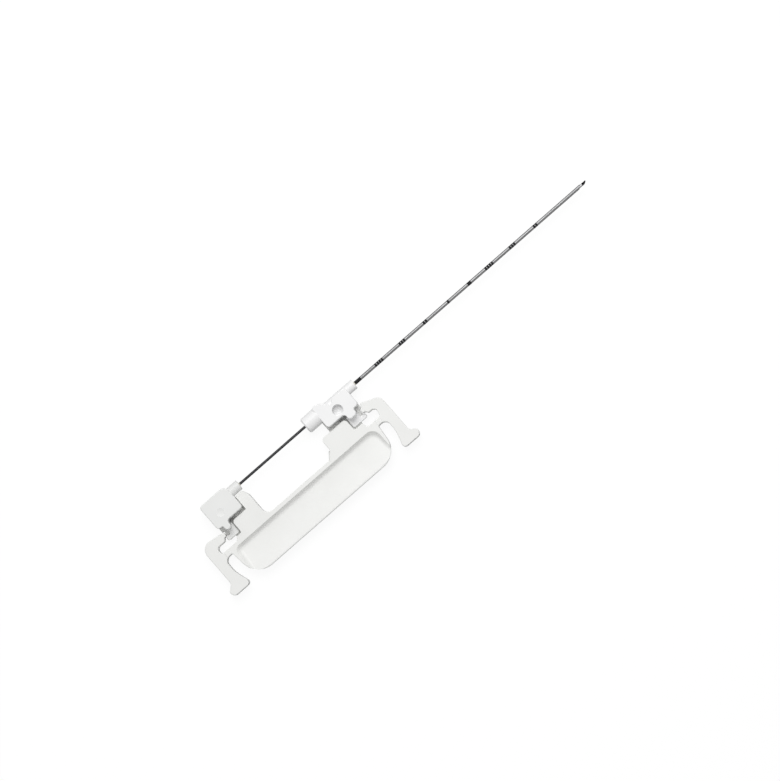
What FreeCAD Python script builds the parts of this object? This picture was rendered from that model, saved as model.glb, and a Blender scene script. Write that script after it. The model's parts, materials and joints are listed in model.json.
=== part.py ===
import FreeCAD, Part
import math
import os

# Core biopsy needle in its loading carrier. A notched stylet runs in a steel cannula, and each has a
# moulded hub that drops onto a drive pin of the biopsy gun. A moulded carrier holds the two hubs at the
# right spacing while the needle is handled. Its squeeze levers swing on thin webs and hook over the toes
# of the hubs. Millimetres. +X runs along the needle to its tip, +Z is up, and the grip lies on -Y. The
# origin is on the needle's axis, in the nose face of the cannula hub.

# Steel
cannula_radius = 0.635
cannula_bore_radius = 0.51
cannula_tail_radius = 0.59
cannula_bevel_length = 1.1
cannula_grip = 13.0
stylet_running_gap = 0.04
stylet_overhang = 2.4
stylet_point_length = 1.6
stylet_point_turn = -40.0
stylet_grip = 11.5
sample_notch_length = 19.0
sample_notch_setback = 5.5

# Depth marks: rings that count the centimetres to the cannula's end, with a band at five and at ten.
# The first centimetre is roughened and carries no ring.
mark_count = 10
first_mark = 2
mark_pitch = 10.0
last_mark_reach = 2.9
mark_ring_width = 0.62
mark_ring_pitch = 0.95
mark_band_width = 1.4
mark_band_every = 5
mark_thickness = 0.03
mark_lift = 0.025

# Adhesive round the steel in the hubs' noses
bond_radius = 1.05
bond_depth = 1.3
bond_meniscus = 0.35
bond_film = 0.015

# Both hubs: a round barrel on the needle's axis, and a block with a foot that the carrier holds
barrel_radius = 1.85
block_top = 2.8
block_bottom = -2.0
block_side = 5.8
block_step = 0.55
hub_edge_radius = 0.3
hub_corner_radius = 1.1
neck_reach = 2.7
toe_length = 2.0
toe_reach = 5.55
toe_width = 1.6
toe_thickness = 1.2
toe_corner_radius = 0.7

# Cannula hub
cannula_hub_nose_length = 3.33
cannula_hub_block_length = 13.27
cannula_hub_neck_width = 3.5
cannula_hub_neck_back = 9.25
barrel_side_of_block = 1.16
block_peak_side = 3.2
block_peak_length = 2.3
block_peak_radius = 2.8
block_slope_length = 5.62
block_slope_side = 0.15
block_slope_end_radius = 0.65
block_notch_width = 1.7
block_notch_depth = 1.5
sleeve_radius = 3.0
sleeve_length = 5.55
sleeve_chamfer = 0.5
sleeve_shoulder_length = 3.0
funnel_radius = 2.1
funnel_depth = 4.5

# Stylet hub, whose foot hangs a little lower
stylet_hub_nose_length = 3.85
stylet_hub_block_length = 11.55
stylet_hub_neck_width = 2.3
stylet_hub_neck_back = 11.0
stylet_hub_drop = 0.9
stylet_hub_far_side = 2.75
stylet_hub_front_radius = 2.3

# Blind sockets for the gun's drive pins
pin_socket_radius = 1.95
pin_socket_depth = 1.8
pin_socket_side = 3.27
cannula_hub_socket_back = 10.07
stylet_hub_socket_back = 10.82
top_socket_depth = 2.4
dimple_radius = 1.5
dimple_depth = 0.18

# Carrier
foot_spacing = 54.0
carrier_top = 0.8
carrier_base = -3.6
top_edge_radius = 0.25
corner_radius = 0.6
wall = 1.5
window_side = 14.2
window_corner_radius = 2.8
post_reach = 15.2
post_corner_radius = 1.3
post_bend_radius = 1.3
post_gap = 1.2
slot_gap = 1.0
toe_gap = 0.35
toe_floor_gap = 0.7
slot_floor_setback = 1.0
gusset_run = 2.3
gusset_rise = 2.7
gusset_lip = 0.7
finger_width = 4.1
finger_slope_run = 1.1
finger_slope_rise = 2.4
finger_gap = 0.15
finger_barrel_gap = 0.3
shelf_gap = 0.05
shelf_side = 2.4
shelf_lip = 0.5
shelf_pin_gap = 0.3
hook_swing = 0.6
grip_beyond_foot = 6.05
grip_side = 28.05
grip_corner_radius = 7.5
grip_taper = 1.15

# Finger scoop in the grip
bar_width = 1.35
scoop_depth = 2.0
scoop_wall_draft = 12.0
scoop_end_draft = 30.0
scoop_floor_radius = 34.0
scoop_foot_radius = 1.3
scoop_front_radius = 3.4
scoop_rear_radius = 2.2
rim_width = 1.5

# Levers and the webs that they swing on
web_thickness = 2.1
web_length = 2.2
web_band_spare = 0.63
web_root_setback = 0.73
lever_gap_to_grip = 3.45
lever_width = 3.65
lever_lift = 0.2
lever_gap_to_block = 0.15
latch_overlap = 0.6
latch_gap = 0.15
hook_thickness = 1.35
hook_rise = 0.8
hook_arm_step = 1.03
hook_arm_setback = 1.1
hook_arm_radius = 1.4
pad_side = 27.95
pad_height = 4.05
pad_flare = 2.6
pad_tip_setback = 1.0
pad_inner_flare = 2.0
pad_inner_height = 6.5
pad_corner_radius = 1.3
lever_inner_radius = 10.0
notch_radius = 2.1
front_lever_rise = 0.4
front_lever_shoulder = 3.3
front_shoulder_radius = 2.5
rear_lever_shoulder = 0.8
rear_shoulder_radius = 3.3

# Room that a cut runs on past the face that it opens
cut_overrun = 1.0

cannula_reach = last_mark_reach + mark_count * mark_pitch
carrier_middle = -cannula_hub_neck_back - foot_spacing / 2
stylet_hub_nose = carrier_middle - foot_spacing / 2 + stylet_hub_neck_back
cannula_socket_x = -cannula_hub_socket_back
stylet_socket_x = stylet_hub_nose - stylet_hub_socket_back
grip_half_length = foot_spacing / 2 + grip_beyond_foot
stylet_radius = cannula_bore_radius - stylet_running_gap
stylet_tip = cannula_reach + stylet_overhang
scoop_side = window_side + bar_width
shelf_top = block_bottom - shelf_gap


class End:
    """Places that a hub, its slot in the carrier and its lever share at one end of the carrier.

    They are counted away from the carrier's middle, and down from the needle's axis.
    """

    def __init__(self, sign, hub_nose, nose_length, block_length, neck_width, block_drop):
        self.sign = sign
        block_front = hub_nose - nose_length
        self.block_ends = sorted((self.reach(block_front), self.reach(block_front - block_length)))
        self.block_side = block_side + block_drop
        self.neck_in = foot_spacing / 2
        self.neck_out = self.neck_in + neck_width
        self.neck_side = self.block_side + neck_reach
        self.toe_in = self.neck_in - slot_gap + toe_gap
        self.toe_out = self.neck_out + toe_length
        self.toe_side = self.block_side + toe_reach
        self.slot_in = self.neck_in - slot_gap
        self.slot_side = self.toe_side + toe_floor_gap
        self.slot_floor_out = self.neck_out - slot_floor_setback
        self.post_side = self.block_side + post_gap
        self.hook_out = self.toe_out - latch_overlap
        self.hook_side = self.toe_side - toe_width - latch_gap
        self.lever_in = self.block_ends[1] + lever_gap_to_block

    def x(self, reach):
        return carrier_middle + self.sign * reach

    def reach(self, x):
        return self.sign * (x - carrier_middle)

    def place(self, corners):
        """Turns corners (reach, y, radius) into the part's own x and y."""
        return [(self.x(reach), y, radius) for reach, y, radius in corners]


front = End(1, 0.0, cannula_hub_nose_length, cannula_hub_block_length, cannula_hub_neck_width, 0.0)
rear = End(
    -1, stylet_hub_nose, stylet_hub_nose_length, stylet_hub_block_length, stylet_hub_neck_width,
    stylet_hub_drop,
)


def vec(x, y, z=0.0):
    return FreeCAD.Vector(x, y, z)


def rounded_wire(corners, z):
    """Closed wire through the corners (x, y, radius), with each corner turned by an arc of its radius."""
    points = [vec(x, y, z) for x, y, radius in corners]
    turns = []
    for i, here in enumerate(points):
        before = (points[i - 1] - here).normalize()
        after = (points[(i + 1) % len(points)] - here).normalize()
        radius = corners[i][2]
        half = before.getAngle(after) / 2
        tangent = radius / math.tan(half)
        inward = (before + after).normalize()
        middle = here + inward * (radius / math.sin(half) - radius)
        turns.append((here + before * tangent, middle, here + after * tangent))
    edges = []
    for i, (start, middle, end) in enumerate(turns):
        edges.append(Part.LineSegment(turns[i - 1][2], start).toShape())
        if corners[i][2] > 0:
            edges.append(Part.Arc(start, middle, end).toShape())
    return Part.Wire(edges)


def prism(corners, low, high):
    return Part.Face(rounded_wire(corners, low)).extrude(vec(0, 0, high - low))


def plate(corners, low, high, edge_radius):
    """Prism whose upper edges are rounded."""
    solid = prism(corners, low, high)
    top = max(solid.Faces, key=lambda face: face.CenterOfMass.z)
    return solid.makeFillet(edge_radius, top.Edges)


def turned(profile):
    """Solid of revolution about the needle's axis from (x, radius) points."""
    wire = Part.makePolygon([vec(x, radius) for x, radius in profile + profile[:1]])
    return Part.Face(wire).revolve(vec(0, 0), vec(1, 0, 0), 360)


def rod(radius, x_low, x_high):
    return Part.makeCylinder(radius, x_high - x_low, vec(x_low, 0), vec(1, 0, 0))


def sloping_cut(tip, radius, length, turn):
    """Wedge that grinds a round end to a point on its +Y side, then turned about the needle's axis."""
    spare = radius
    run = length * (2 * radius + spare) / (2 * radius)
    corners = [vec(tip, radius), vec(tip - run, -radius - spare), vec(tip + spare, -radius - spare)]
    corners.append(vec(tip + spare, radius))
    wedge = Part.Face(Part.makePolygon(corners + corners[:1])).extrude(vec(0, 0, 4 * radius))
    wedge.translate(vec(0, 0, -2 * radius))
    wedge.rotate(vec(0, 0), vec(1, 0, 0), turn)
    return wedge


def make_cannula():
    """Outer tube, with a glued tail that tapers in the hub, and an end ground to a slanted cutting edge."""
    tube = turned([
        (-cannula_grip, cannula_bore_radius),
        (-cannula_grip, cannula_tail_radius),
        (0, cannula_radius),
        (cannula_reach, cannula_radius),
        (cannula_reach, cannula_bore_radius),
    ])
    return tube.cut(sloping_cut(cannula_reach, cannula_radius, cannula_bevel_length, 0.0))


def make_stylet():
    """Inner rod, with a bevelled point and a long notch of half its depth that takes the sample."""
    body = rod(stylet_radius, stylet_hub_nose - stylet_grip, stylet_tip)
    body = body.cut(sloping_cut(stylet_tip, stylet_radius, stylet_point_length, stylet_point_turn))
    end = stylet_tip - sample_notch_setback
    start = end - sample_notch_length
    slope = stylet_radius
    path = [(start, 0), (end - slope, 0), (end, stylet_radius), (start - slope, stylet_radius)]
    points = [vec(x, -2 * stylet_radius, z) for x, z in path]
    notch = Part.Face(Part.makePolygon(points + points[:1])).extrude(vec(0, 4 * stylet_radius, 0))
    return body.cut(notch)


def make_depth_marks():
    """Rings that count the centimetres from the cannula's end, and a band at each fifth."""
    inner = cannula_radius + mark_lift
    spans = []
    for step in range(first_mark, mark_count + 1):
        end = cannula_reach - step * mark_pitch
        rings = step % mark_band_every
        if rings == 0:
            spans.append((bond_meniscus if step == mark_count else end - mark_band_width, end))
        for i in range(rings):
            ring_end = end - i * mark_ring_pitch
            spans.append((ring_end - mark_ring_width, ring_end))
    rings = [rod(inner + mark_thickness, low, high).cut(rod(inner, low, high)) for low, high in spans]
    return Part.Compound(rings)


def make_bond(nose, steel_radius):
    """Adhesive that fills the pocket round the steel, with a small meniscus outside the nose."""
    inner, outer = steel_radius + bond_film, bond_radius - bond_film
    foot = nose - bond_depth + bond_film
    return turned([(foot, inner), (nose + bond_meniscus, inner), (nose, outer), (foot, outer)])


def bonded_bore(nose, steel_radius, grip):
    """Bore that takes the steel, with the pocket for the adhesive."""
    bore = rod(steel_radius + bond_film, nose - grip, nose + cut_overrun)
    return bore.fuse(rod(bond_radius, nose - bond_depth, nose))


def pin_socket(x, low, high):
    return Part.makeCylinder(pin_socket_radius, high - low, vec(x, -pin_socket_side, low))


def hub_block(end, far_corners):
    """Block with its neck, from the corners of its far side, and the toe below the neck."""
    start, stop = end.block_ends
    low_side = -end.block_side - block_step
    round_corner = hub_corner_radius
    block = [
        (start, -end.block_side, round_corner),
        (end.neck_in, -end.block_side, round_corner),
        (end.neck_in, -end.neck_side, round_corner),
        (end.neck_out, -end.neck_side, round_corner),
        (end.neck_out, low_side, round_corner / 2),
        (stop, low_side, round_corner),
    ]
    toe_top_side = -end.toe_side + toe_width
    toe = [
        (end.toe_in, -end.neck_side + toe_width, 0),
        (end.toe_in, -end.toe_side, toe_corner_radius),
        (end.toe_out, -end.toe_side, toe_corner_radius),
        (end.toe_out, toe_top_side, toe_corner_radius),
        (end.neck_out, toe_top_side, toe_corner_radius / 2),
        (end.neck_out, -end.neck_side + toe_width, 0),
    ]
    solid = plate(end.place(block + far_corners), block_bottom, block_top, hub_edge_radius)
    toe_top = block_bottom + toe_thickness
    return solid.fuse(plate(end.place(toe), block_bottom, toe_top, hub_edge_radius))


def make_cannula_hub():
    """Front hub: a sleeve that guides the stylet in, a block with a notched edge, and a slim nose."""
    block_start = -cannula_hub_nose_length - cannula_hub_block_length
    back = block_start - sleeve_length
    barrel = turned([
        (back, 0),
        (back, sleeve_radius - sleeve_chamfer),
        (back + sleeve_chamfer, sleeve_radius),
        (block_start, sleeve_radius),
        (block_start + sleeve_shoulder_length, barrel_radius),
        (0, barrel_radius),
        (0, 0),
    ])
    start, stop = front.block_ends
    slope_end = start + block_slope_length
    far_side = [
        (stop, barrel_side_of_block, hub_corner_radius),
        (slope_end + block_notch_width, barrel_side_of_block, hub_corner_radius),
        (slope_end + block_notch_width / 2, barrel_side_of_block - block_notch_depth, hub_corner_radius / 3),
        (slope_end, block_slope_side, block_slope_end_radius),
        (start + block_peak_length, block_peak_side, block_peak_radius),
        (start, block_peak_side, hub_corner_radius),
    ]
    hub = barrel.fuse(hub_block(front, far_side)).removeSplitter()
    guide = turned([
        (back - cut_overrun, 0),
        (back - cut_overrun, funnel_radius),
        (back, funnel_radius),
        (back + funnel_depth, cannula_bore_radius),
        (-cannula_grip, cannula_bore_radius),
        (-cannula_grip, 0),
    ])
    below = pin_socket(cannula_socket_x, block_bottom - cut_overrun, block_bottom + pin_socket_depth)
    above = pin_socket(cannula_socket_x, block_top - top_socket_depth, block_top + cut_overrun)
    for hollow in (bonded_bore(0, cannula_radius, cannula_grip), guide, below, above):
        hub = hub.cut(hollow)
    return hub


def make_stylet_hub():
    """Rear hub: a plain block with a slim nose, and a foot that mirrors the front hub's."""
    block_start = stylet_hub_nose - stylet_hub_nose_length
    barrel = rod(barrel_radius, block_start - stylet_hub_block_length / 2, stylet_hub_nose)
    start, stop = rear.block_ends
    far_side = [
        (stop, stylet_hub_far_side, hub_corner_radius),
        (start, stylet_hub_far_side, stylet_hub_front_radius),
    ]
    hub = barrel.fuse(hub_block(rear, far_side)).removeSplitter()
    below = pin_socket(stylet_socket_x, block_bottom - cut_overrun, block_bottom + pin_socket_depth)
    ball_radius = (dimple_radius ** 2 + dimple_depth ** 2) / (2 * dimple_depth)
    ball_level = block_top - dimple_depth + ball_radius
    dimple = Part.makeSphere(ball_radius, vec(stylet_socket_x, -pin_socket_side, ball_level))
    for hollow in (bonded_bore(stylet_hub_nose, stylet_radius, stylet_grip), below, dimple):
        hub = hub.cut(hollow)
    return hub


def front_post():
    """The post's side on the window, which a slanted corner joins to the bar."""
    return [
        (post_reach - gusset_run, -window_side, corner_radius),
        (post_reach, -window_side + gusset_rise, corner_radius),
        (post_reach, -front.post_side, post_corner_radius),
    ]


def rear_post():
    """The post's side on the window, with a finger that reaches up in front of the stylet hub's block."""
    finger_side = barrel_radius + finger_barrel_gap
    finger_in = rear.block_ends[0] - finger_gap - finger_width
    return [
        (finger_in, -window_side, window_corner_radius),
        (finger_in, -finger_side - finger_slope_rise, corner_radius),
        (finger_in + finger_slope_run, -finger_side, corner_radius),
        (finger_in + finger_width, -finger_side, corner_radius),
        (finger_in + finger_width, -rear.post_side, 0.0),
    ]


def front_lever_top(outer):
    return [
        (front.lever_in, -front.hook_side + hook_thickness + hook_rise, corner_radius),
        (front.lever_in, -front.block_side - front_lever_rise, corner_radius),
        (outer, -front.block_side - front_lever_shoulder, front_shoulder_radius),
    ]


def rear_lever_top(outer):
    return [
        (rear.lever_in, -rear.hook_side + hook_thickness + hook_rise / 2, corner_radius),
        (outer, -rear.block_side - rear_lever_shoulder, rear_shoulder_radius),
    ]


def half_outline(end, post, lever_top):
    """Half of the moulding in plan, from the window past the slot and the lever to the grip."""
    inner = grip_half_length + lever_gap_to_grip
    outer = inner + lever_width
    arm_side = end.hook_side + hook_arm_step
    web_low_side = window_side + web_thickness
    slot = [
        (end.slot_in, -end.post_side, post_bend_radius),
        (end.slot_in, -end.slot_side, corner_radius),
        (end.slot_floor_out, -end.slot_side, corner_radius),
        (end.slot_floor_out + corner_radius, -window_side, corner_radius * 2),
    ]
    hook = [
        (inner - web_root_setback, -window_side, corner_radius),
        (inner, -arm_side, hook_arm_radius),
        (end.toe_out + hook_arm_setback, -arm_side, corner_radius),
        (end.toe_out + toe_gap, -end.hook_side, corner_radius / 3),
        (end.hook_out, -end.hook_side, corner_radius),
        (end.hook_out, -end.hook_side + hook_thickness, corner_radius),
    ]
    pad = [
        (outer, -pad_side + pad_height, pad_corner_radius),
        (outer + pad_flare, -pad_side + pad_height / 2, pad_corner_radius),
        (outer + pad_flare - pad_tip_setback, -pad_side, pad_corner_radius),
        (inner - pad_inner_flare, -pad_side, pad_corner_radius),
        (inner, -pad_side + pad_inner_height, lever_inner_radius),
    ]
    grip = [
        (inner, -web_low_side, notch_radius),
        (grip_half_length, -web_low_side, corner_radius),
        (grip_half_length - grip_taper, -grip_side, grip_corner_radius),
    ]
    return end.place(post + slot + hook + lever_top(outer) + pad + grip)


def make_moulding():
    """Carrier, webs and levers as the one moulding that they are, before they are told apart."""
    outline = half_outline(front, front_post(), front_lever_top)
    outline += half_outline(rear, rear_post(), rear_lever_top)[::-1]
    return plate(outline, carrier_base, carrier_top, top_edge_radius)


def scoop_profile(lift, start):
    """The scoop's floor from the side: an arc that rises from the foot of its wall to the outer edge.

    The arc starts at the given distance from the wall's foot.
    """
    floor = carrier_top - scoop_depth + lift
    foot_side = scoop_side + (carrier_top - floor) * math.tan(math.radians(scoop_wall_draft))
    run = grip_side + wall - foot_side

    def along(distance):
        rise = scoop_floor_radius - math.sqrt(scoop_floor_radius ** 2 - distance ** 2)
        return vec(0, -foot_side - distance, floor + rise)

    middle = (start + run) / 2
    return along(start), along(run), Part.Arc(along(start), along(middle), along(run)).toShape()


def swept_room(floor_line, path, half):
    """Room between the floor line and the path from its end to its start, along the grip."""
    edges = [floor_line] + [Part.LineSegment(a, b).toShape() for a, b in zip(path, path[1:])]
    face = Part.Face(Part.Wire(edges))
    face.translate(vec(carrier_middle - half, 0, 0))
    return face.extrude(vec(2 * half, 0, 0))


def scoop_outline(z):
    """The scoop in plan at a level: its wall and its ends lean inwards as they go down."""
    depth = carrier_top - z
    wall_y = -scoop_side - depth * math.tan(math.radians(scoop_wall_draft))
    half = grip_half_length - rim_width - depth * math.tan(math.radians(scoop_end_draft))
    outer_y = -grip_side - wall
    corners = [
        (carrier_middle + half, outer_y, 0.0),
        (carrier_middle + half, wall_y, scoop_front_radius),
        (carrier_middle - half, wall_y, scoop_rear_radius),
        (carrier_middle - half, outer_y, 0.0),
    ]
    return rounded_wire(corners, z)


def make_scoop():
    """Hollow for the fingers in the grip's upper face, with a rounded foot all along its wall and ends."""
    top = carrier_top + scoop_depth
    walls = Part.makeLoft([scoop_outline(carrier_top - 2 * scoop_depth), scoop_outline(top)], True, True)
    start, end, floor_line = scoop_profile(0.0, -wall)
    path = [end, vec(0, end.y, 2 * top), vec(0, start.y, 2 * top), start]
    room = walls.common(swept_room(floor_line, path, grip_half_length + wall))
    floor = min(room.Faces, key=lambda face: face.CenterOfMass.z)
    foot = [edge for edge in floor.Edges if edge.CenterOfMass.y > -grip_side]
    return room.makeFillet(scoop_foot_radius, foot)


def make_grip_core():
    """Room under the scoop, which leaves the grip an even wall."""
    foot, end, floor_line = scoop_profile(-wall, 0.0)
    below = carrier_base - wall
    path = [end, vec(0, end.y, below), vec(0, foot.y, below), foot]
    return swept_room(floor_line, path, grip_half_length - rim_width)


def make_post_core(end):
    """Room under a post, inside its walls."""
    inner, outer = post_reach + wall, end.slot_in - wall
    low_side, high_side = -scoop_side, -end.post_side - wall
    corners = [(inner, low_side), (outer, low_side), (outer, high_side), (inner, high_side)]
    corners = [(reach, y, corner_radius) for reach, y in corners]
    return prism(end.place(corners), carrier_base - cut_overrun, carrier_top - wall)


def shelf(end, low_reach, high_reach, low_side, high_side):
    corners = [(low_reach, low_side), (high_reach, low_side), (high_reach, high_side), (low_reach, high_side)]
    return prism(end.place([(reach, y, 0.0) for reach, y in corners]), carrier_base, shelf_top)


def make_shelves():
    """Low shelves under the hubs and beside the hooks, and a low lip along the slanted corner."""
    shelves = []
    for end, pin in ((front, cannula_socket_x), (rear, stylet_socket_x)):
        pin_edge = end.reach(pin) - pin_socket_radius - shelf_pin_gap
        root = -end.post_side - wall
        shelves.append(shelf(end, end.block_ends[0] - shelf_lip, pin_edge, root, -shelf_side))
        neck_edge = -end.neck_side
        shelves.append(shelf(end, end.slot_in - wall, end.slot_floor_out, -end.slot_side - wall, neck_edge))
        hook_edge = end.hook_out - latch_gap
        under_toe = -end.toe_side + toe_width / 2
        under_block = -end.block_side
        shelves.append(shelf(end, end.slot_floor_out - wall, hook_edge, under_toe, under_block))
        above_hook = -end.hook_side + hook_thickness + hook_swing
        shelves.append(shelf(end, end.slot_floor_out, end.block_ends[1] - latch_gap, above_hook, under_block))
    lip = [
        (post_reach - gusset_run - gusset_lip, -window_side - wall / 2),
        (post_reach + wall / 2, -window_side - wall / 2),
        (post_reach + wall / 2, -window_side + gusset_rise),
        (post_reach - gusset_lip, -window_side + gusset_rise),
        (post_reach - gusset_run - gusset_lip, -window_side),
    ]
    shelves.append(prism(front.place([(reach, y, 0.0) for reach, y in lip]), carrier_base, shelf_top))
    return shelves


def hinge_band(end):
    """Box round the web, which lies between the grip's end and the lever."""
    low, high = sorted((end.x(grip_half_length), end.x(grip_half_length + web_length)))
    corner = vec(low, -window_side - web_thickness - web_band_spare, carrier_base - cut_overrun)
    height = carrier_top - carrier_base + 2 * cut_overrun
    return Part.makeBox(high - low, web_thickness + 2 * web_band_spare, height, corner)


def make_moulding_pieces():
    """The carrier, its two levers and the two webs that they swing on."""
    moulding = make_moulding()
    bands = [hinge_band(front), hinge_band(rear)]
    rear_lever, carrier, front_lever = sorted(moulding.cut(bands).Solids, key=lambda s: s.CenterOfMass.x)
    for piece in make_shelves():
        carrier = carrier.fuse(piece)
    for hollow in (make_scoop(), make_grip_core(), make_post_core(front), make_post_core(rear)):
        carrier = carrier.cut(hollow)
    box = moulding.BoundBox
    lowest = Part.makeBox(box.XLength, box.YLength, lever_lift, vec(box.XMin, box.YMin, carrier_base))
    return {
        "carrier": carrier.removeSplitter(),
        "front_lever": front_lever.cut(lowest),
        "rear_lever": rear_lever.cut(lowest),
        "front_hinge_web": moulding.common(bands[0]).cut(lowest),
        "rear_hinge_web": moulding.common(bands[1]).cut(lowest),
    }


parts = {
    "cannula": make_cannula(),
    "stylet": make_stylet(),
    "depth_marks": make_depth_marks(),
    "cannula_bond": make_bond(0.0, cannula_radius),
    "stylet_bond": make_bond(stylet_hub_nose, stylet_radius),
    "cannula_hub": make_cannula_hub(),
    "stylet_hub": make_stylet_hub(),
}
parts.update(make_moulding_pieces())

os.makedirs("parts", exist_ok=True)
for name, shape in parts.items():
    shape.exportStep("parts/" + name + ".step")
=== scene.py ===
import json
import math

import bmesh
import bpy
import numpy as np
from mathutils import Matrix, Vector

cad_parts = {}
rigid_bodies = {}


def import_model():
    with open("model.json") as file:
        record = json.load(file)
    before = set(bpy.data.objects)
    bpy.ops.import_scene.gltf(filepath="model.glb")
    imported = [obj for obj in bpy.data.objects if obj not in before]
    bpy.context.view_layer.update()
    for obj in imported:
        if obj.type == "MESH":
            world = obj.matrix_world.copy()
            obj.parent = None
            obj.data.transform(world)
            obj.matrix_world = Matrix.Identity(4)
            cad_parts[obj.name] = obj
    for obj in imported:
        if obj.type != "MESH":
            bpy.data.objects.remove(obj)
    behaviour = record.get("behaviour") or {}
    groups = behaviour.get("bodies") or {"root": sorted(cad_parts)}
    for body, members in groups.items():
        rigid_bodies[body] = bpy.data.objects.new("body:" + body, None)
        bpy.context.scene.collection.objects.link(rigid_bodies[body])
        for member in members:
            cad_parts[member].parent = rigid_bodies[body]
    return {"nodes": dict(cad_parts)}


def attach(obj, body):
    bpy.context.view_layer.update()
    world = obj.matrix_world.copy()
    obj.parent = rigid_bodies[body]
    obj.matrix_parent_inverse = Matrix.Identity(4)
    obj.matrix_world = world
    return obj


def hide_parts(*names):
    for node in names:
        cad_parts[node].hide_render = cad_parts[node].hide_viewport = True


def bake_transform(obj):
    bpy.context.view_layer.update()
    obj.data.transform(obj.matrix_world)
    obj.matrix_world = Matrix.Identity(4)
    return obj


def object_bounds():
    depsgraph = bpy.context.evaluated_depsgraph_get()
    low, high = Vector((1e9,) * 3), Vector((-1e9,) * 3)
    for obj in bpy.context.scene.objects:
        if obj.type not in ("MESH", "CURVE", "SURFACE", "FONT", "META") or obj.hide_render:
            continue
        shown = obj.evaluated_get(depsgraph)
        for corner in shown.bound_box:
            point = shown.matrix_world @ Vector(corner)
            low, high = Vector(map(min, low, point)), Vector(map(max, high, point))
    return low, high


# Dressing of the biopsy needle in its loading carrier. The carrier, its levers and the two hubs are the
# solids of the source with moulded plastic on them. The steel, its marks, the adhesive and the hinge webs are
# surfaces worked out here. Lengths are millimetres in the part's own frame unless a comment says metres, and
# the mesh code turns them into metres. +X runs along the needle to its tip, +Z is up, -Y is the grip's side.

MM = 0.001

for thing in list(bpy.data.objects):
    bpy.data.objects.remove(thing, do_unlink=True)
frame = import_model()
nodes = frame["nodes"]
cad_low, cad_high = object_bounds()


# Mesh code

def closed_surface(name, grid, materials, ring=False, material_of=None, sharp=35.0):
    """Mesh over a grid of points, rows by columns. Columns close on themselves.

    With ring the rows close too, as on a tube's wall, else each end row is closed by a fan to its middle.
    material_of gives each band between two rows its material's index. Faces are turned outwards by the sign
    of the enclosed volume, and edges turned by more than sharp degrees stay crisp.
    """
    rows, columns, _ = grid.shape
    points = grid.reshape(-1, 3) * MM
    index = np.arange(rows * columns).reshape(rows, columns)
    here = index if ring else index[:-1]
    above = np.roll(index, -1, axis=0) if ring else index[1:]
    quads = np.stack([here, np.roll(here, -1, axis=1), np.roll(above, -1, axis=1), above], axis=-1)
    bands = np.repeat(np.arange(quads.shape[0]), columns)
    faces = quads.reshape(-1, 4).tolist()
    band_of = bands.tolist()
    if not ring:
        middles = np.stack([grid[0].mean(axis=0), grid[-1].mean(axis=0)]) * MM
        points = np.concatenate([points, middles])
        first, last = rows * columns, rows * columns + 1
        low, high = index[0], index[-1]
        faces += np.stack([np.roll(low, -1), low, np.full(columns, first)], axis=-1).tolist()
        faces += np.stack([high, np.roll(high, -1), np.full(columns, last)], axis=-1).tolist()
        band_of += [0] * columns + [quads.shape[0] - 1] * columns
    triangles = [face[:3] for face in faces]
    triangles += [[face[0], face[2], face[3]] for face in faces if len(face) == 4]
    corners = (points - points.mean(axis=0))[triangles]
    if np.einsum("ij,ij->", corners[:, 0], np.cross(corners[:, 1], corners[:, 2])) < 0:
        faces = [face[::-1] for face in faces]
    mesh = bpy.data.meshes.new(name)
    mesh.from_pydata(points.tolist(), [], faces)
    for material in materials:
        mesh.materials.append(material)
    if material_of:
        mesh.polygons.foreach_set("material_index", [material_of(band) for band in band_of])
    mesh.polygons.foreach_set("use_smooth", [True] * len(faces))
    mesh.update()
    mesh.set_sharp_from_angle(angle=math.radians(sharp))
    piece = bpy.data.objects.new(name, mesh)
    bpy.context.scene.collection.objects.link(piece)
    return piece


def around(columns):
    """Angles of the columns round the needle's axis."""
    return np.linspace(0, 2 * math.pi, columns, endpoint=False)


def revolved(x, radius, columns):
    """Grid of a turned form: each (x, radius) becomes a circle (x, r cos a, r sin a)."""
    turn = around(columns)
    x = np.asarray(x, float)[:, None]
    radius = np.asarray(radius, float)[:, None]
    return np.stack([x + 0 * turn, radius * np.cos(turn), radius * np.sin(turn)], axis=-1)


# Materials

def node_tree(name):
    """Empty material, its tree, and its principled shader."""
    material = bpy.data.materials.new(name)
    material.use_nodes = True
    tree = material.node_tree
    tree.nodes.clear()
    shader = tree.nodes.new("ShaderNodeBsdfPrincipled")
    output = tree.nodes.new("ShaderNodeOutputMaterial")
    tree.links.new(shader.outputs["BSDF"], output.inputs["Surface"])
    return material, tree, shader


def object_point(tree, stretch=(1.0, 1.0, 1.0)):
    """The point on the object, stretched along its axes."""
    place = tree.nodes.new("ShaderNodeTexCoord")
    mapping = tree.nodes.new("ShaderNodeMapping")
    mapping.inputs["Scale"].default_value = stretch
    tree.links.new(place.outputs["Object"], mapping.inputs["Vector"])
    return mapping.outputs["Vector"]


def noise(tree, point, scale, detail=3.0, rough=0.5):
    """Cloudy value round a half. The scale is in clouds to a metre."""
    node = tree.nodes.new("ShaderNodeTexNoise")
    node.inputs["Scale"].default_value = scale
    node.inputs["Detail"].default_value = detail
    node.inputs["Roughness"].default_value = rough
    tree.links.new(point, node.inputs["Vector"])
    return node.outputs["Fac"]


def spread(tree, value, low, high, start=0.3, end=0.7):
    """Value from start to end spread over low to high."""
    node = tree.nodes.new("ShaderNodeMapRange")
    for socket, number in (("From Min", start), ("From Max", end), ("To Min", low), ("To Max", high)):
        node.inputs[socket].default_value = number
    tree.links.new(value, node.inputs["Value"])
    return node.outputs["Result"]


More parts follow.
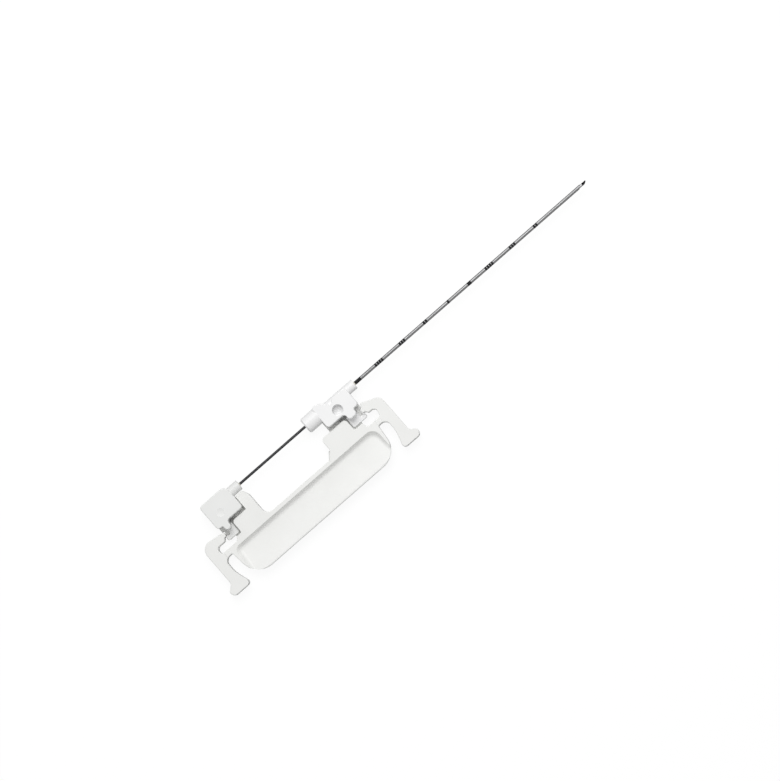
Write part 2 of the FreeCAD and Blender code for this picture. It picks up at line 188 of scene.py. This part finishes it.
def tinted(tree, value, first, second):
    """Colour that goes from first to second with the value."""
    node = tree.nodes.new("ShaderNodeMix")
    node.data_type = "RGBA"
    node.inputs["A"].default_value = (*first, 1.0)
    node.inputs["B"].default_value = (*second, 1.0)
    tree.links.new(value, node.inputs["Factor"])
    return node.outputs["Result"]


def bumped(tree, shader, height, depth):
    """Surface that follows the height, as deep as the depth in millimetres."""
    node = tree.nodes.new("ShaderNodeBump")
    node.inputs["Distance"].default_value = depth * MM
    node.inputs["Strength"].default_value = 1.0
    tree.links.new(height, node.inputs["Height"])
    tree.links.new(node.outputs["Normal"], shader.inputs["Normal"])


def moulded_plastic(name, colour, shade, gloss, grain, grain_depth):
    """Injection moulded plastic: a faint cloudy flow in its colour, and the mould's fine spark grain."""
    material, tree, shader = node_tree(name)
    point = object_point(tree)
    flow = spread(tree, noise(tree, point, 90.0, 2.0), 0.0, 1.0, 0.35, 0.65)
    tree.links.new(tinted(tree, flow, colour, shade), shader.inputs["Base Color"])
    patches = noise(tree, point, 420.0, 3.0)
    tree.links.new(spread(tree, patches, gloss - 0.05, gloss + 0.07), shader.inputs["Roughness"])
    bumped(tree, shader, noise(tree, point, grain, 4.0, 0.6), grain_depth)
    shader.inputs["IOR"].default_value = 1.49
    shader.inputs["Specular IOR Level"].default_value = 0.3
    return material


def drawn_steel(name, colour, shade, gloss, line_depth, turned=False):
    """Steel with fine lines: along the needle where it was drawn, across it where it was ground."""
    material, tree, shader = node_tree(name)
    lines = object_point(tree, (900.0, 60.0, 60.0) if turned else (14.0, 900.0, 900.0))
    streak = noise(tree, lines, 9.0, 4.0, 0.65)
    tree.links.new(tinted(tree, spread(tree, streak, 0.0, 1.0), colour, shade), shader.inputs["Base Color"])
    cloud = noise(tree, object_point(tree), 260.0, 3.0)
    tree.links.new(spread(tree, cloud, gloss - 0.06, gloss + 0.08), shader.inputs["Roughness"])
    bumped(tree, shader, streak, line_depth)
    shader.inputs["Metallic"].default_value = 1.0
    shader.inputs["Anisotropic"].default_value = 0.35
    round_axis = tree.nodes.new("ShaderNodeTangent")
    round_axis.direction_type = "RADIAL"
    round_axis.axis = "X"
    tree.links.new(round_axis.outputs["Tangent"], shader.inputs["Tangent"])
    # The edge tint is dark: painted shade along the steel's grazing edges.
    shader.inputs["Specular Tint"].default_value = (0.3, 0.3, 0.3, 1.0)
    return material


def printed_ink(name):
    """Matt black print, a little worn and uneven."""
    material, tree, shader = node_tree(name)
    point = object_point(tree)
    worn = spread(tree, noise(tree, point, 3200.0, 5.0, 0.7), 0.0, 1.0, 0.42, 0.8)
    black, rubbed = (0.008, 0.008, 0.009), (0.04, 0.04, 0.042)
    tree.links.new(tinted(tree, worn, black, rubbed), shader.inputs["Base Color"])
    tree.links.new(spread(tree, noise(tree, point, 1500.0), 0.42, 0.62), shader.inputs["Roughness"])
    bumped(tree, shader, noise(tree, point, 9000.0, 3.0), 0.004)
    shader.inputs["Specular IOR Level"].default_value = 0.12
    return material


def cured_adhesive(name):
    """Clear adhesive with a yellow cast and a glossy skin."""
    material, tree, shader = node_tree(name)
    point = object_point(tree)
    cloud = spread(tree, noise(tree, point, 1800.0, 3.0), 0.0, 1.0)
    clear, yellowed = (0.74, 0.72, 0.64), (0.62, 0.59, 0.5)
    tree.links.new(tinted(tree, cloud, clear, yellowed), shader.inputs["Base Color"])
    tree.links.new(spread(tree, noise(tree, point, 900.0), 0.08, 0.2), shader.inputs["Roughness"])
    bumped(tree, shader, noise(tree, point, 2600.0, 2.0), 0.01)
    shader.inputs["Coat Weight"].default_value = 0.4
    return material


carrier_plastic = moulded_plastic(
    "satin_polypropylene", (0.86, 0.862, 0.846), (0.84, 0.842, 0.826),
    gloss=0.45, grain=5200.0, grain_depth=0.008)
cannula_hub_plastic = moulded_plastic(
    "white_polycarbonate", (0.89, 0.89, 0.89), (0.87, 0.87, 0.875),
    gloss=0.30, grain=3800.0, grain_depth=0.004)
stylet_hub_plastic = moulded_plastic(
    "pale_polycarbonate", (0.825, 0.83, 0.82), (0.805, 0.81, 0.80),
    gloss=0.33, grain=3800.0, grain_depth=0.004)
cannula_steel = drawn_steel(
    "drawn_cannula_steel", (0.21, 0.21, 0.212), (0.15, 0.15, 0.152),
    gloss=0.25, line_depth=0.004)
# Painted shade: the stylet is the needle's steel, coloured far darker than the cannula.
stylet_steel_painted_shade = drawn_steel(
    "drawn_stylet_steel_painted_shade", (0.055, 0.055, 0.057), (0.035, 0.035, 0.037),
    gloss=0.34, line_depth=0.003)
# Painted highlight: a lighter copy of the steel, on the cannula's ground rim and the stylet's end past the
# cannula.
painted_highlight_steel = drawn_steel(
    "painted_highlight_tip_steel", (0.32, 0.32, 0.325), (0.24, 0.24, 0.245),
    gloss=0.28, line_depth=0.003)
# Painted shadow: near black on the stylet's ground point, with real grinding lines across it.
ground_bevel_painted_shadow_steel = drawn_steel(
    "ground_bevel_steel_painted_shadow", (0.008, 0.008, 0.009), (0.005, 0.005, 0.006),
    gloss=0.45, line_depth=0.003, turned=True)
mark_ink = printed_ink("mark_print")
bond_adhesive = cured_adhesive("cured_adhesive")

for name, material in (
    ("carrier", carrier_plastic),
    ("front_lever", carrier_plastic),
    ("rear_lever", carrier_plastic),
    ("cannula_hub", cannula_hub_plastic),
    ("stylet_hub", stylet_hub_plastic),
):
    nodes[name].data.materials[0] = material


# Steel

cannula_radius = 0.635
bore_radius = 0.51
tail_radius = 0.59
cannula_tail, cannula_tip = -13.0, 102.9
cannula_bevel = 1.1
stylet_radius = 0.47
stylet_tail, stylet_tip = -63.75, 105.3
stylet_bevel = 1.6
stylet_point_turn = math.radians(-40.0)
notch_start, notch_end = 80.8, 99.8
dimple_low, dimple_high = 87.0, 100.6
dimple_pitch = 0.8
dimples_around = 10
dimple_depth = 0.035
rim_rounding = 0.02
tail_chamfer = 0.06


def slanted_end(tip, radius, bevel, side):
    """Where a slanting cut ends the steel: the tip on the far side, and back by the bevel on the near one."""
    return tip - bevel * (radius - side) / (2 * radius)


def make_cannula():
    """Tube: outer wall to the slanted end and back along the bore.

    Inside its hub it tapers to the glued tail. Its rough stretch near the tip has rows of round dimples,
    each row turned by half a step from the last. A dimple's depth goes with sin squared of the place along
    its row's pitch times cos squared of the angle from its middle, where that product is large enough.
    """
    columns = 120
    plain = np.concatenate([[cannula_tail, 0.0, 0.2], np.linspace(2, dimple_low - 0.4, 30)])
    rows_per_dimple = 8
    count = int((dimple_high - dimple_low) / dimple_pitch)
    dimpled = dimple_low + np.arange(count * rows_per_dimple + 1) * dimple_pitch / rows_per_dimple
    heel = cannula_tip - cannula_bevel
    outer_x = np.concatenate([plain, dimpled, [heel - 0.5, heel - 0.1]])
    outer_r = np.where(outer_x < 0, tail_radius, cannula_radius)
    outer = revolved(outer_x, outer_r, columns)
    turn = around(columns)
    row = (outer_x - dimple_low) / dimple_pitch
    shift = np.where(np.floor(row) % 2 == 0, 0.0, math.pi / dimples_around)
    along = np.sin(math.pi * (row % 1.0))[:, None] ** 2
    across = np.cos((turn[None] - shift[:, None]) * dimples_around / 2) ** 2
    hollow = np.clip(1.9 * along * across - 0.75, 0, 1) * dimple_depth
    hollow[(outer_x <= dimple_low) | (outer_x >= dimpled[-1])] = 0
    outer[..., 1:] *= 1 - hollow[..., None] / cannula_radius
    rim_radii = [cannula_radius, cannula_radius - rim_rounding, bore_radius + rim_rounding, bore_radius]
    rim = revolved([0, 0, 0, 0], rim_radii, columns)
    rim[..., 0] = slanted_end(cannula_tip, cannula_radius, cannula_bevel, rim[..., 1])
    rim[[0, 3], :, 0] -= rim_rounding
    inner = revolved([heel - 0.6, cannula_tail], [bore_radius] * 2, columns)
    grid = np.concatenate([outer, rim, inner])
    # The ground rim gets the lighter copy of the steel: painted highlight.
    ground = range(len(outer), len(outer) + 3)
    piece = closed_surface("cannula_tube", grid, [cannula_steel, painted_highlight_steel], True,
                           lambda band: 1 if band in ground else 0)
    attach(piece, "carrier")
    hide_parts("cannula")


def make_stylet():
    """Rod with a slanted point turned about its axis, and a flat notch cut down to the axis.

    Every point of a section is (r cos a, the lesser of r sin a and the notch's level there). The steel has
    painted shade up to the notch, a painted highlight from there on, and a painted shadow round the ground
    point.
    """
    columns = 96
    slope = stylet_radius
    x = np.concatenate([
        [stylet_tail, stylet_tail + tail_chamfer, -52.0], np.linspace(-50, notch_start - 2, 40),
        notch_start + slope * np.linspace(-1, 0, 9), np.linspace(notch_start + 1, notch_end - slope - 1, 16),
        notch_end - slope + slope * np.linspace(0, 1, 9), [notch_end + 0.3, stylet_tip - stylet_bevel - 0.3],
    ])
    radius = np.full(len(x), stylet_radius)
    radius[0] -= tail_chamfer
    level = np.interp(x, [notch_start - slope, notch_start, notch_end - slope, notch_end],
                      [stylet_radius, 0, 0, stylet_radius])
    rod = revolved(x, radius, columns)
    rod[..., 2] = np.minimum(rod[..., 2], level[:, None])
    shares = np.array([1.0, 0.97, 0.75, 0.5, 0.25])
    point = revolved(0 * shares, stylet_radius * shares, columns)
    side = point[..., 1] * math.cos(stylet_point_turn) + point[..., 2] * math.sin(stylet_point_turn)
    point[..., 0] = slanted_end(stylet_tip, stylet_radius, stylet_bevel, side)
    point[0, :, 0] -= rim_rounding
    grid = np.concatenate([rod, point])
    # Bands from the notch on get the painted highlight, the point's bands the painted shadow, the rest the
    # painted shade.
    first_painted_shadow_band, first_painted_highlight_band = len(rod) - 1, int(np.searchsorted(x, notch_start - slope))
    piece = closed_surface("stylet_rod", grid, [stylet_steel_painted_shade, painted_highlight_steel, ground_bevel_painted_shadow_steel], False,
                           lambda band: 2 if band >= first_painted_shadow_band else 1 if band >= first_painted_highlight_band else 0)
    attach(piece, "carrier")
    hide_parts("stylet")


make_cannula()
make_stylet()


# Depth marks

mark_pitch = 10.0
mark_count = 10
first_mark = 2
mark_ring_width = 0.62
mark_spread = 0.14
mark_ring_pitch = 0.95
mark_band_width = 1.4
mark_skin = 0.022
mark_sunk = -0.008
last_band_low = 0.36


def mark_spans():
    """Low and high end of every ring: rings that count the centimetres, and a band at each fifth.

    The print has spread a little towards the tip, so that the rings of a group almost touch.
    """
    spans = []
    for step in range(first_mark, mark_count + 1):
        end = cannula_tip - step * mark_pitch
        rings = step % 5
        if rings == 0:
            low = last_band_low if step == mark_count else end - mark_band_width
            spans.append((low, end + mark_spread))
        for i in range(rings):
            ring_end = end - i * mark_ring_pitch
            spans.append((ring_end - mark_ring_width, ring_end + mark_spread))
    return spans


def make_marks():
    """Thin rings of print: the skin's edges fall off in a curve and waver a little round the tube."""
    columns = 96
    turn = around(columns)
    wander = np.random.default_rng(7)
    pieces = []
    for low, high in mark_spans():
        edge = list(zip([0.0, 0.0, 0.02, 0.05], [mark_sunk, 0.006, 0.017, mark_skin]))
        near = [(low + a, b) for a, b in edge]
        far = [(high - a, b) for a, b in reversed(edge)]
        x, rise = np.array(near + far).T
        grid = revolved(x, cannula_radius + rise, columns)
        for rows, sign in ((slice(0, 4), 1), (slice(4, 8), -1)):
            waves = sum(wander.uniform(0.002, 0.008) * np.sin(n * turn + wander.uniform(0, 6.28))
                        for n in (2, 3, 5, 9))
            grid[rows, :, 0] += sign * waves
        pieces.append(closed_surface("mark", grid, [mark_ink], True))
    joined = join(pieces, "mark_rings")
    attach(joined, "carrier")
    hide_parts("depth_marks")


def join(pieces, name):
    """One object from pieces that share their materials."""
    mesh = bmesh.new()
    for piece in pieces:
        mesh.from_mesh(piece.data)
    first = pieces[0]
    mesh.to_mesh(first.data)
    mesh.free()
    for piece in pieces[1:]:
        old = piece.data
        bpy.data.objects.remove(piece)
        bpy.data.meshes.remove(old)
    first.name = name
    first.data.name = name
    return first


make_marks()


# Adhesive

bond_radius = 1.035
bond_film = 0.015
bond_depth = 1.285
bond_meniscus = 0.335
stylet_hub_nose = -52.25


def make_bond(node, nose, steel_radius):
    """Ring of adhesive whose free face climbs the steel in a hollow curve.

    Up the curve x grows with t to the power 1.8, and the radius falls with t to the power 0.75.
    """
    inner = steel_radius + bond_film
    rise = np.linspace(0, 1, 14)
    climb_x = nose + 0.02 + 0.32 * rise ** 1.8
    climb_r = bond_radius - (bond_radius - inner - 0.004) * rise ** 0.75
    foot = nose - bond_depth
    wall = [[foot, inner], [foot, bond_radius], [nose - 0.03, bond_radius]]
    profile = np.concatenate([wall, np.stack([climb_x, climb_r], axis=-1), [[nose + bond_meniscus, inner]]])
    piece = closed_surface(node + "_ring", revolved(profile[:, 0], profile[:, 1], 96), [bond_adhesive], True)
    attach(piece, "carrier")
    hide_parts(node)


make_bond("cannula_bond", 0.0, cannula_radius)
make_bond("stylet_bond", stylet_hub_nose, stylet_radius)


# Floors of the slots in the carrier, beside the shelves that the source has there

shelf_top = -3.1
shelf_low = -3.55
slot_corner = 0.4
slot_edge = 0.12


def rounded(corners, radius, steps):
    """Points of an outline whose corners (x, y) are arcs of the radius."""
    points = []
    for i, corner in enumerate(corners):
        here = np.array(corner)
        before, after = np.array(corners[i - 1]) - here, np.array(corners[(i + 1) % len(corners)]) - here
        before, after = before / np.linalg.norm(before), after / np.linalg.norm(after)
        half = math.acos(float(np.clip(before @ after, -1, 1))) / 2
        inward = (before + after) / np.linalg.norm(before + after)
        middle = here + inward * radius / math.sin(half)
        start = here + before * radius / math.tan(half) - middle
        end = here + after * radius / math.tan(half) - middle
        for share in np.linspace(0, 1, steps):
            arm = start * (1 - share) + end * share
            points.append(middle + arm * radius / np.linalg.norm(arm))
    return np.array(points)


def shrunk(outline, inset):
    """The outline moved inwards, each point along the mean of its two sides' normals."""
    ahead = np.roll(outline, -1, axis=0) - np.roll(outline, 1, axis=0)
    normal = np.column_stack([-ahead[:, 1], ahead[:, 0]])
    normal /= np.linalg.norm(normal, axis=1)[:, None]
    following = np.roll(outline, -1, axis=0)
    area = np.sum(outline[:, 0] * following[:, 1] - following[:, 0] * outline[:, 1])
    return outline + normal * inset * math.copysign(1.0, area)


def make_slot_floor(name, low, high):
    """Low plate with rounded corners that closes a slot between a hub's neck and its post from below."""
    corners = [low, (high[0], low[1]), high, (low[0], high[1])]
    outline = rounded(corners, slot_corner, 6)
    levels = [(shelf_low, 0.0), (shelf_top - slot_edge, 0.0), (shelf_top - 0.3 * slot_edge, 0.3 * slot_edge),
              (shelf_top, slot_edge)]
    rings = [np.column_stack([shrunk(outline, inset), np.full(len(outline), z)]) for z, inset in levels]
    piece = closed_surface(name, np.stack(rings), [carrier_plastic])
    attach(piece, "carrier")


make_slot_floor("front_slot_floor", (-12.7, -8.8), (-7.9, -5.56))
make_slot_floor("rear_slot_floor", (-63.4, -9.7), (-60.4, -5.56))


# Living hinges

web_slices = 11
double_distance = 0.0005


def make_web(node, body_end, lever_end):
    """The hinge web as it is in the moulding, cut into thin slices across its length."""
    web = bmesh.new()
    web.from_mesh(nodes[node].data)
    bmesh.ops.remove_doubles(web, verts=web.verts, dist=double_distance * MM)
    for x in np.linspace(body_end, lever_end, web_slices + 1)[1:-1]:
        everything = web.verts[:] + web.edges[:] + web.faces[:]
        bmesh.ops.bisect_plane(web, geom=everything, plane_co=(x * MM, 0, 0), plane_no=(1, 0, 0), dist=1e-7)
    mesh = bpy.data.meshes.new(node + "_flexure")
    web.to_mesh(mesh)
    web.free()
    mesh.materials.clear()
    mesh.materials.append(carrier_plastic)
    mesh.polygons.foreach_set("use_smooth", [True] * len(mesh.polygons))
    mesh.set_sharp_from_angle(angle=math.radians(30))
    piece = bpy.data.objects.new(node + "_flexure", mesh)
    bpy.context.scene.collection.objects.link(piece)
    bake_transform(piece)
    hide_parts(node)


make_web("front_hinge_web", -3.2, -1.0)
make_web("rear_hinge_web", -69.3, -71.5)


# Floor, world, lamp and camera

floor_half_metres = 3.0
floor_gap = 0.02
floor_glow = 0.915
ambient_level = 0.55
lamp_size_metres = 0.45
lamp_distance_metres = 0.6
lamp_power = 2.1
lamp_aim = (-5, -10, 0)
lamp_direction = (0.45, 0.95, 1.7)
camera_distance = 900.0
camera_tilt, camera_roll = 5.0, 41.06
camera_target = (7.74, -9.8, 0.0)
frame_half_pixels, focal_pixels = 390.0, 2635.3


def light_path_switch(tree):
    """One where a camera, glossy or transmission ray looks, else nought."""
    path = tree.nodes.new("ShaderNodeLightPath")
    total = path.outputs["Is Camera Ray"]
    for ray in ("Is Glossy Ray", "Is Transmission Ray"):
        larger = tree.nodes.new("ShaderNodeMath")
        larger.operation = "MAXIMUM"
        tree.links.new(total, larger.inputs[0])
        tree.links.new(path.outputs[ray], larger.inputs[1])
        total = larger.outputs[0]
    return total


def make_floor():
    """Pale floor under the part. A looking ray gets light added to it, so it is white but for shadows."""
    half = floor_half_metres
    z = cad_low.z - floor_gap * MM
    mesh = bpy.data.meshes.new("floor")
    corners = [(-half, -half, z), (half, -half, z), (half, half, z), (-half, half, z)]
    mesh.from_pydata(corners, [], [(0, 1, 2, 3)])
    floor = bpy.data.objects.new("floor", mesh)
    bpy.context.scene.collection.objects.link(floor)
    material = bpy.data.materials.new("pale_floor")
    material.use_nodes = True
    tree = material.node_tree
    tree.nodes.clear()
    seen = tree.nodes.new("ShaderNodeBsdfDiffuse")
    seen.inputs["Color"].default_value = (0.1, 0.1, 0.1, 1)
    glow = tree.nodes.new("ShaderNodeEmission")
    glow.inputs["Strength"].default_value = floor_glow
    both = tree.nodes.new("ShaderNodeAddShader")
    unseen = tree.nodes.new("ShaderNodeBsdfDiffuse")
    unseen.inputs["Color"].default_value = (0.06, 0.06, 0.06, 1)
    mix = tree.nodes.new("ShaderNodeMixShader")
    output = tree.nodes.new("ShaderNodeOutputMaterial")
    tree.links.new(seen.outputs[0], both.inputs[0])
    tree.links.new(glow.outputs[0], both.inputs[1])
    tree.links.new(light_path_switch(tree), mix.inputs[0])
    tree.links.new(unseen.outputs[0], mix.inputs[1])
    tree.links.new(both.outputs[0], mix.inputs[2])
    tree.links.new(mix.outputs[0], output.inputs["Surface"])
    mesh.materials.append(material)


def make_world():
    """Even soft light from all round, which a looking ray sees as plain white."""
    world = bpy.data.worlds.new("studio")
    bpy.context.scene.world = world
    world.use_nodes = True
    tree = world.node_tree
    tree.nodes.clear()
    ambient = tree.nodes.new("ShaderNodeBackground")
    ambient.inputs["Color"].default_value = (1, 1, 1, 1)
    ambient.inputs["Strength"].default_value = ambient_level
    white = tree.nodes.new("ShaderNodeBackground")
    white.inputs["Color"].default_value = (1, 1, 1, 1)
    white.inputs["Strength"].default_value = 1.0
    mix = tree.nodes.new("ShaderNodeMixShader")
    output = tree.nodes.new("ShaderNodeOutputWorld")
    tree.links.new(light_path_switch(tree), mix.inputs[0])
    tree.links.new(ambient.outputs[0], mix.inputs[1])
    tree.links.new(white.outputs[0], mix.inputs[2])
    tree.links.new(mix.outputs[0], output.inputs["Surface"])


def make_lamp():
    """Soft round key light from the needle's side, nearer to the front end than to the rear one."""
    lamp = bpy.data.lights.new("key", "AREA")
    lamp.shape = "DISK"
    lamp.size = lamp_size_metres
    lamp.energy = lamp_power
    key = bpy.data.objects.new("key", lamp)
    bpy.context.scene.collection.objects.link(key)
    towards = Vector(lamp_direction).normalized()
    key.location = Vector(lamp_aim) * MM + towards * lamp_distance_metres
    key.rotation_mode = "QUATERNION"
    key.rotation_quaternion = towards.to_track_quat("Z", "Y")


def make_camera():
    """Camera high above the part, a little to the grip's side. The needle runs up and right in its view."""
    tilt, roll = math.radians(camera_tilt), math.radians(camera_roll)
    back = Vector((0, -math.tan(tilt), 1)).normalized()
    right = Vector((math.sin(roll), math.cos(roll), 0)).cross(back).normalized()
    up = back.cross(right)
    place = (Vector(camera_target) + back * camera_distance) * MM
    data = bpy.data.cameras.new("view")
    data.sensor_fit = "HORIZONTAL"
    data.angle = 2 * math.atan(frame_half_pixels / focal_pixels)
    data.clip_start = 0.01
    data.clip_end = 20.0
    camera = bpy.data.objects.new("view", data)
    camera.matrix_world = Matrix((
        (right.x, up.x, back.x, place.x),
        (right.y, up.y, back.y, place.y),
        (right.z, up.z, back.z, place.z),
        (0, 0, 0, 1),
    ))
    bpy.context.scene.collection.objects.link(camera)
    bpy.context.scene.camera = camera


make_floor()
make_world()
make_lamp()
make_camera()
bpy.context.scene.view_settings.view_transform = "Standard"
